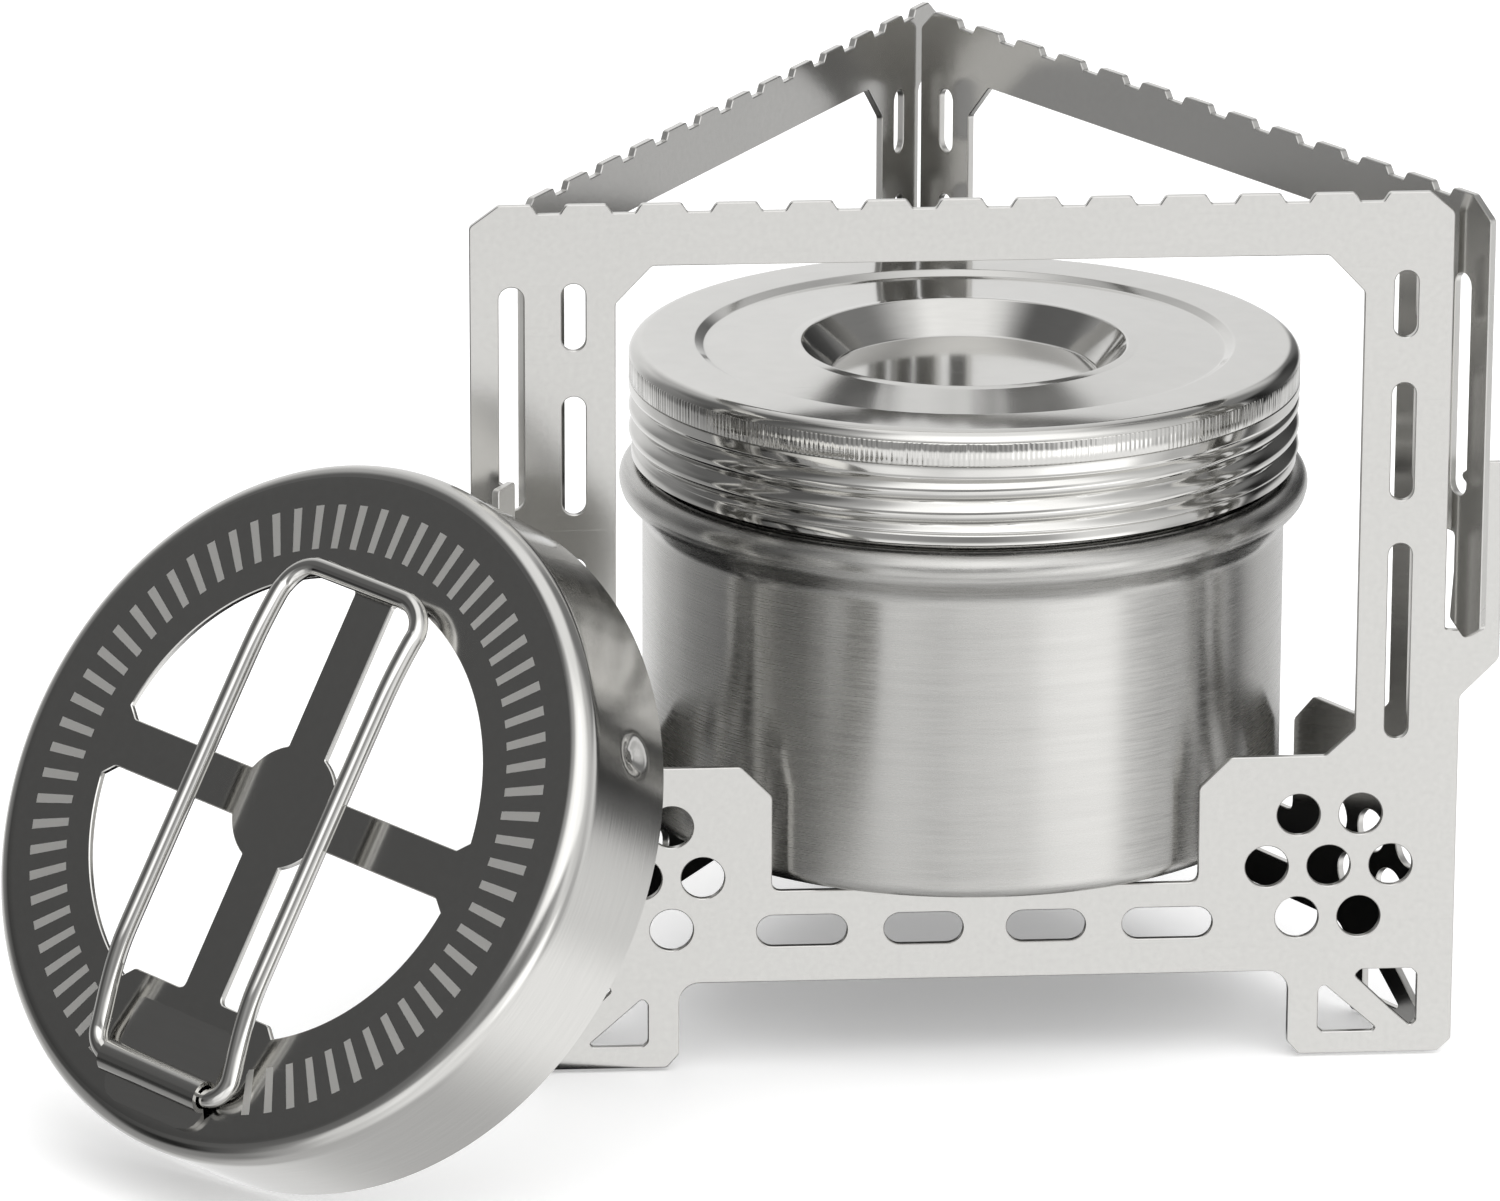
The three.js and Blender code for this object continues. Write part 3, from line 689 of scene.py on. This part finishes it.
def lid():
    """Screw lid: dish, sloping recess, raised border, rolled thread, and a separate knurled band."""
    bm = bmesh.new()
    top = eased([
        (0, 67.9), (14.3, 67.9, 0.5), (17.45, 71.36, 0.4), (18.6, 71.24, 0.4), (27.4, 70.95, 1.2),
        (27.9, 70.95, 0.45), (28.9, 71.5, 0.5),
        (34.4, 71.5), *arc(34.5, 70.0, 1.5, 88, 14, 9), (35.93, 70.36), (35.8, 70.3), (35.8, 67.8),
        (35.93, 67.74), (35.97, 67.4), (35.97, 66.75, 0.3), (35.85, 66.5, 0.2), (35.85, 66.45),
    ], 5, closed=False)
    rows = top + [(LID_GROOVE, 66.4 - 0.1 * k) for k in range(61)]
    rows += [(35.55, 60.3), (35.65, 60.15), (35.67, 59.25), (35.5, 59.1), (35.0, 59.1)]
    rows += [(34.85, 59.2), (34.85, 66.2), (35.35, 66.7), (35.35, 70.3), (34.4, 70.85), (28.5, 70.85)]
    rows += [(28.0, 70.3), (27.6, 70.3), (18.5, 70.6), (17.7, 70.5)]
    rows += [(14.8, 67.35), (14.5, 67.25), (0, 67.25)]
    shape = thread(LID_GROOVE, LID_CREST, low=59.9, high=66.9, z0=63.22, sharp=0.55)
    turned(bm, rows, 288, lambda r, z, a: shape(r, z, a) if r == LID_GROOVE else r)
    band = [(35.6, 70.32), (35.83, 70.32), (KNURL_R, 70.18), (KNURL_R, 67.95), (35.83, 67.8), (35.6, 67.8)]
    turned(bm, band, 4 * KNURL_STROKES, knurl, closed=True)
    obj = finish_mesh("burner_lid", bm, [POLISHED], 40, BURNER_PLACE)
    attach(obj, "lid")
    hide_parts("lid_shell")


lid()


# =============================================================== flame regulator
def grille_window(side, low):
    """One of the grille's four openings; the low ones stop at the land that carries the clip."""
    hub = math.sqrt(HUB**2 - SPOKE**2)
    edge = math.degrees(math.asin((SPOKE + 1.2) / GRILLE_R))
    hub_edge = math.degrees(math.asin(SPOKE / HUB))
    ring = [(GRILLE_R - 1.6, SPOKE, 0.5)]
    if low:
        end = math.degrees(math.acos((LAND_X + 1.2) / GRILLE_R))
        ring += arc(0, 0, GRILLE_R, edge, end, 40)
        ring += [(LAND_X, LAND_Y, 0.8), (SPOKE, LAND_Y, 0.8)]
    else:
        ring += arc(0, 0, GRILLE_R, edge, 90 - edge, 48)
        ring += [(SPOKE, GRILLE_R - 1.6, 0.5)]
    ring += [(SPOKE, hub, 0.3), *arc(0, 0, HUB, 90 - hub_edge, hub_edge, 14)[1:-1], (hub, SPOKE, 0.3)]
    return eased([(p[0] * side, -p[1] if low else p[1], *p[2:]) for p in ring])


def dimples(r, z, a):
    """Pressed dimples in the side wall: a round dent with a small raised centre."""
    if z > -CAP_ROLL:
        return r
    for turn in DIMPLE_TURNS:
        d = (a - math.radians(turn) + math.pi) % TAU - math.pi
        q = math.hypot(d * CAP_R, z - DIMPLE_Z)
        if q < DIMPLE_R:
            dent = 0.85 * (1 - smoothstep((q - 0.4) / 1.9))
            centre = 0.25 * (1 - smoothstep(q / 0.7))
            return r - dent + centre
    return r


def regulator_cap():
    """Shallow cap: flat face with the grille, rolled edge, side wall, and the inside of the same sheet."""
    bm = bmesh.new()
    segments = 480
    rim = arc(0, 0, FACE_R, 0, 360 - 360 / segments, segments - 1)
    windows = [grille_window(s, low) for s in (-1, 1) for low in (False, True)]
    sheet(bm, [rim, *windows], -CAP_SHEET, 0, 0.1, keep_outer=True)
    roll, bore = CAP_ROLL, CAP_R - CAP_SHEET
    rows = [(FACE_R, 0), (34.4, 0), *arc(CAP_R - roll, -roll, roll, 88, 2, 12)]
    rows += [(CAP_R, -2.6 - 0.36 * k) for k in range(32)]
    rows += [(CAP_R, -CAP_DEEP + 0.12), (CAP_R - 0.12, -CAP_DEEP), (bore + 0.1, -CAP_DEEP)]
    outside = len(rows)
    rows += [(bore, -CAP_DEEP + 0.1)]
    rows += [(bore, -13.7 + 0.36 * k) for k in range(32)]
    rows += [*arc(CAP_R - roll, -roll, roll - CAP_SHEET, 2, 88, 6), (34.4, -CAP_SHEET), (FACE_R, -CAP_SHEET)]

    def look(k):
        """Material of the band below row k: dark face, side wall, then the inside, painted lighter."""
        if k > outside + 1:
            return 3
        return 0 if k < 3 else 2

    turned(bm, rows, segments, dimples, material=look)
    obj = finish_mesh("regulator_body", bm, [DARK, DARK_EDGE, SIDE, PAINTED_LIGHT_INSIDE], 40, CAP_PLACE)
    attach(obj, "regulator")
    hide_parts("regulator_cap")


def handle_line():
    """Middle line of the wire, closed but for a small gap inside the clip."""
    half, top, bend = HANDLE_HALF, HANDLE_TOP, HINGE_BEND
    pts = [(0.25, HINGE_Y, HINGE_Z), (half - bend, HINGE_Y, HINGE_Z)]
    for x, y in arc(half - bend, HINGE_Y + bend, bend, -75, 0, 6):
        pts.append((x, y, HINGE_Z + 0.25 * (y - HINGE_Y) / bend))
    pts += [(half, HINGE_Y + 4.0, 2.1), (half, HINGE_Y + 6.3, 2.8), (half, HINGE_Y + 8.6, 3.35)]
    pts += [(half, -19.2, 3.72), (half, -17.0, 3.8), (half, -10, 3.75), (half, 0, 3.7), (half, 10, 3.65)]
    pts += [(half, 14.2, 3.6), (half, 16.2, 3.5), (half, 18.2, 3.3)]
    for x, y in arc(half - TOP_BEND, top - TOP_BEND, TOP_BEND, 0, 84, 8):
        t = (y - (top - TOP_BEND)) / TOP_BEND
        pts.append((x, y, 3.0 - 0.6 * math.sqrt(max(t, 0))))
    pts += [(half - 4.6, top, 2.4), (1.0, top, 2.4)]
    return pts + [(-x, y, z) for x, y, z in reversed(pts)]


def handle():
    """The wire, swept as a smooth curve and turned into a mesh."""
    curve = bpy.data.curves.new("handle_line", "CURVE")
    curve.dimensions = "3D"
    curve.bevel_depth = WIRE_R
    curve.bevel_resolution = 10
    curve.use_fill_caps = True
    curve.resolution_u = 5
    pts = handle_line()
    spline = curve.splines.new("NURBS")
    spline.points.add(len(pts) - 1)
    for p, q in zip(spline.points, pts):
        p.co = (*q, 1)
    spline.order_u = 3
    spline.use_endpoint_u = True
    temp = bpy.data.objects.new("handle_temp", curve)
    bpy.context.scene.collection.objects.link(temp)
    bpy.context.view_layer.update()
    mesh = bpy.data.meshes.new_from_object(temp.evaluated_get(bpy.context.evaluated_depsgraph_get()))
    bpy.data.objects.remove(temp)
    bm = bmesh.new()
    bm.from_mesh(mesh)
    obj = finish_mesh("regulator_wire_handle", bm, [WIRE], 50, CAP_PLACE)
    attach(obj, "handle")
    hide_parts("regulator_handle")


def strap_line():
    """Middle line of the clip's strap as (y, z, outward normal), from its outer to its inner end."""
    over = CLIP_BORE + CLIP_SHEET / 2
    outer = (CLIP_OUT, CLIP_OUT + 0.4, CLIP_OUT + 1.0, CLIP_OUT + 1.7, HINGE_Y - 2.1)
    inner = (HINGE_Y + 2.1, HINGE_Y + 2.6, -26.5, -25.5, -24.6)
    inner += (CLIP_IN - 0.8, CLIP_IN - 0.5, CLIP_IN - 0.15, CLIP_IN)
    line = [(y, CLIP_MIDDLE, 0.0, 1.0) for y in outer]
    for y, z in arc(HINGE_Y, HINGE_Z, over, 206, -26, 22):
        line.append((y, z, (y - HINGE_Y) / over, (z - HINGE_Z) / over))
    return line + [(y, CLIP_MIDDLE, 0.0, 1.0) for y in inner]


def clip_half(y):
    """Half width of the strap, narrowed by the round corners of its two ends."""
    w = CLIP_HALF
    for end, r in ((CLIP_OUT, CLIP_OUT_ROUND), (CLIP_IN, CLIP_IN_ROUND)):
        d = abs(y - end)
        if d < r:
            w = min(w, CLIP_HALF - r + math.sqrt(max(r * r - (r - d) ** 2, 0)))
    return w


def around(rows):
    """Vertices round the edge of a grid given as rows."""
    left = [r[0] for r in rows]
    right = [r[-1] for r in reversed(rows[:-1])]
    return left + rows[-1][1:] + right + rows[0][-2:0:-1]


def clip():
    """Spring-steel strap rolled over the wire, both leaves lying on the face."""
    sheet_half, face_gap = CLIP_SHEET / 2, 0.02
    bm = bmesh.new()
    top, bottom = [], []
    for y, z, ny, nz in strap_line():
        w = clip_half(y)
        columns = [-w + 2 * w * j / CLIP_COLUMNS for j in range(CLIP_COLUMNS + 1)]
        low = face_gap if ny == 0 else z - nz * sheet_half
        top.append([bm.verts.new((x, y + ny * sheet_half, z + nz * sheet_half)) for x in columns])
        bottom.append([bm.verts.new((x, y - ny * sheet_half, low)) for x in columns])
    for grid in (top, bottom):
        for a, b in zip(grid, grid[1:]):
            for j in range(CLIP_COLUMNS):
                bm.faces.new((a[j], a[j + 1], b[j + 1], b[j]))
    bridge(bm, around(top), around(bottom))
    obj = finish_mesh("regulator_clip", bm, [CLIP_STEEL], 40, CAP_PLACE)
    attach(obj, "regulator")
    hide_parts("regulator_hinge_clip")


regulator_cap()
handle()
clip()

# =============================================================== hidden inner nodes
for node, look in (("burner_jet_wall", POLISHED), ("burner_wick", cotton()), ("lid_seal", silicone())):
    mesh = frame["nodes"][node].data
    mesh.materials.clear()
    mesh.materials.append(look)


# =============================================================== studio
def plain(name, tone, rough):
    """Matt surface of a stage piece."""
    n = Nodes(name)
    cloud = n.noise((3, 3, 3), 2, 0.5)
    n.link(n.ramp(cloud, [(0.3, (tone * 0.99,) * 3), (0.7, (tone,) * 3)]), n.shader.inputs["Base Color"])
    n.set(Roughness=rough)
    n.shader.inputs["Specular IOR Level"].default_value = 0.1
    return n.material


FLOOR_R, FLOOR_Z, BACKDROP_R, SHADE_R, SHADE_Z = 6, -0.0004, 5.8, 105, -0.0002


def floor():
    """Pale round floor just below the feet, faintly glowing."""
    bm = bmesh.new()
    bmesh.ops.create_circle(bm, cap_ends=True, radius=FLOOR_R, segments=96)
    mesh = bpy.data.meshes.new("floor")
    bm.to_mesh(mesh)
    bm.free()
    obj = bpy.data.objects.new("floor", mesh)
    bpy.context.scene.collection.objects.link(obj)
    obj.location.z = FLOOR_Z
    white = plain("floor", 0.93, 0.9)
    shader = white.node_tree.nodes["Principled BSDF"]
    shader.inputs["Emission Color"].default_value = (1, 1, 1, 1)
    shader.inputs["Emission Strength"].default_value = 0.3
    mesh.materials.append(white)
    return obj


def soft_light(name, at, target, size, power):
    """Rectangular light aimed at a target."""
    light = bpy.data.lights.new(name, "AREA")
    light.shape = "RECTANGLE"
    light.size, light.size_y = size
    light.energy = power
    obj = bpy.data.objects.new(name, light)
    bpy.context.scene.collection.objects.link(obj)
    obj.location = at
    obj.rotation_euler = (Vector(target) - Vector(at)).to_track_quat("-Z", "Y").to_euler()
    return obj


def backdrop():
    """White surround behind the floor, seen directly only."""
    bm = bmesh.new()
    bmesh.ops.create_cone(bm, cap_ends=True, radius1=BACKDROP_R, radius2=BACKDROP_R, depth=8, segments=96)
    mesh = bpy.data.meshes.new("backdrop")
    bm.to_mesh(mesh)
    bm.free()
    obj = bpy.data.objects.new("backdrop", mesh)
    bpy.context.scene.collection.objects.link(obj)
    m = bpy.data.materials.new("backdrop")
    m.use_nodes = True
    m.node_tree.nodes.clear()
    out = m.node_tree.nodes.new("ShaderNodeOutputMaterial")
    glow = m.node_tree.nodes.new("ShaderNodeEmission")
    glow.inputs["Color"].default_value = (1.0, 1.0, 1.0, 1)
    m.node_tree.links.new(glow.outputs[0], out.inputs[0])
    mesh.materials.append(m)
    obj.visible_diffuse = obj.visible_glossy = obj.visible_shadow = obj.visible_transmission = False


# Studio tones round the set, as (degrees round from the front, positive to the right; tone).
# The bands lie over each other, from straight down up to just under the ceiling.
NADIR = [(-180, .85), (-145, .7), (-128, .42), (-75, .3), (-58, .5), (-40, .85), (0, 1.1), (60, 1.15),
         (95, 1.2), (130, 1.05), (180, .85)]
LOW = [(-180, 1.0), (-157, .97), (-131, .64), (-120, .42), (-110, .36), (-101, .32), (-93, .06), (-83, .01),
       (-73, .14), (-60, .36), (-50, .92), (-41, .98), (-28, 1.18), (-12, 1.0), (-3, 1.17), (16, 1.35),
       (28, 1.75), (48, 1.75), (60, .88), (70, .62), (86, .62), (96, .95), (102, .85), (107, .1), (111, .2),
       (118, .6), (128, .78), (157, .82), (180, 1.0)]
MID = [(-180, .95), (-155, .85), (-130, .3), (-95, .08), (-60, .2), (-30, .4), (0, .3), (20, .5), (38, 1.0),
       (55, .9), (75, .7), (98, .9), (103, .7), (107, .1), (112, .02), (132, .1), (150, .05), (161, .2),
       (170, .85), (180, .95)]
HIGH = [(-180, .9), (-150, .55), (-120, .15), (-75, .13), (-52, .5), (-25, 1.5), (0, 1.8), (35, 1.5),
        (70, .7), (100, .25), (130, .25), (155, .7), (180, .9)]


def world():
    """The studio as a background: each band takes over from the one below between two elevations."""
    w = bpy.data.worlds.new("studio")
    bpy.context.scene.world = w
    w.use_nodes = True
    tree = w.node_tree
    add, link = tree.nodes.new, tree.links.new
    back = tree.nodes.get("Background")
    where = add("ShaderNodeTexCoord")
    xyz = add("ShaderNodeSeparateXYZ")
    link(where.outputs["Generated"], xyz.inputs[0])

    def calc(kind, a, b=0.0):
        m = add("ShaderNodeMath")
        m.operation = kind
        for socket, v in zip(m.inputs, (a, b)):
            if isinstance(v, (int, float)):
                socket.default_value = v
            else:
                link(v, socket)
        return m.outputs[0]

    x, y, z = xyz.outputs
    turn = calc("ADD", calc("DIVIDE", calc("ARCTAN2", x, calc("MULTIPLY", y, -1.0)), TAU), 0.5)
    rise = calc("MULTIPLY", calc("ARCSINE", z), 180 / math.pi)

    def band(stops):
        r = add("ShaderNodeValToRGB")
        r.color_ramp.interpolation = "EASE"
        first, last = r.color_ramp.elements
        first.position, last.position = 0, 1
        first.color = last.color = (stops[0][1],) * 3 + (1,)
        for at, tone in stops[1:-1]:
            r.color_ramp.elements.new(at / 360 + 0.5).color = (tone, tone, tone, 1)
        link(turn, r.inputs[0])
        return r.outputs[0]

    def over(below, above, start, end):
        m = add("ShaderNodeMapRange")
        m.interpolation_type = "SMOOTHSTEP"
        m.inputs["From Min"].default_value, m.inputs["From Max"].default_value = start, end
        link(rise, m.inputs["Value"])
        mix = add("ShaderNodeMix")
        mix.data_type = "RGBA"
        link(m.outputs[0], mix.inputs[0])
        for socket, v in ((mix.inputs[6], below), (mix.inputs[7], above)):
            if isinstance(v, float):
                socket.default_value = (v, v, v, 1)
            else:
                link(v, socket)
        return mix.outputs[2]

    tone = over(0.62, band(NADIR), -68, -46)
    tone = over(tone, band(LOW), -34, -22)
    tone = over(tone, band(MID), -10, -1)
    tone = over(tone, band(HIGH), 19, 29)
    tone = over(tone, 1.1, 58, 75)
    link(tone, back.inputs["Color"])


def shade():
    """Painted shade: a dark card lying under and behind the stand, seen only in reflections, standing for
    the shadowed floor there.
    """
    bm = bmesh.new()
    ring = [(AXIS.x - 20, AXIS.y - 26), (AXIS.x + 24, AXIS.y - 26)]
    ring += arc(AXIS.x, AXIS.y, SHADE_R, 8, 204, 40)
    bm.faces.new([bm.verts.new((x * MM, y * MM, SHADE_Z)) for x, y in ring])
    mesh = bpy.data.meshes.new("shade_card")
    bm.to_mesh(mesh)
    bm.free()
    mesh.materials.append(plain("shade_card", 0.012, 0.9))
    obj = bpy.data.objects.new("shade_card", mesh)
    bpy.context.scene.collection.objects.link(obj)
    obj.visible_camera = obj.visible_diffuse = obj.visible_shadow = obj.visible_transmission = False


floor_piece = floor()
floor_piece.visible_glossy = False
shade()
backdrop()
world()
top = soft_light("top_softbox", (0, 0, 1.4), (0, 0, 0), (3.2, 3.2), 22)
top.visible_glossy = False


def camera():
    """Camera at the photograph's viewing angle: a long lens from above and slightly from the left."""
    az, el, roll = math.radians(4.123), math.radians(17.178), math.radians(0.156)
    distance = 989.8
    forward = Vector((math.sin(az) * math.cos(el), math.cos(az) * math.cos(el), -math.sin(el)))
    right = Vector((math.cos(az), -math.sin(az), 0))
    up = right.cross(forward)
    right, up = right * math.cos(roll) + up * math.sin(roll), up * math.cos(roll) - right * math.sin(roll)
    aside, above = -22.87, -2.60
    at = AXIS + Vector((0, 0, 45)) + right * aside + up * above - forward * distance
    data = bpy.data.cameras.new("camera")
    data.sensor_width, data.lens = 36, 220.26
    data.clip_start, data.clip_end = 0.05, 50
    cam = bpy.data.objects.new("camera", data)
    bpy.context.scene.collection.objects.link(cam)
    cam.matrix_world = Matrix((
        (right.x, up.x, -forward.x, at.x * MM), (right.y, up.y, -forward.y, at.y * MM),
        (right.z, up.z, -forward.z, at.z * MM), (0, 0, 0, 1)))
    bpy.context.scene.camera = cam


camera()
bpy.context.scene.view_settings.view_transform = "Standard"
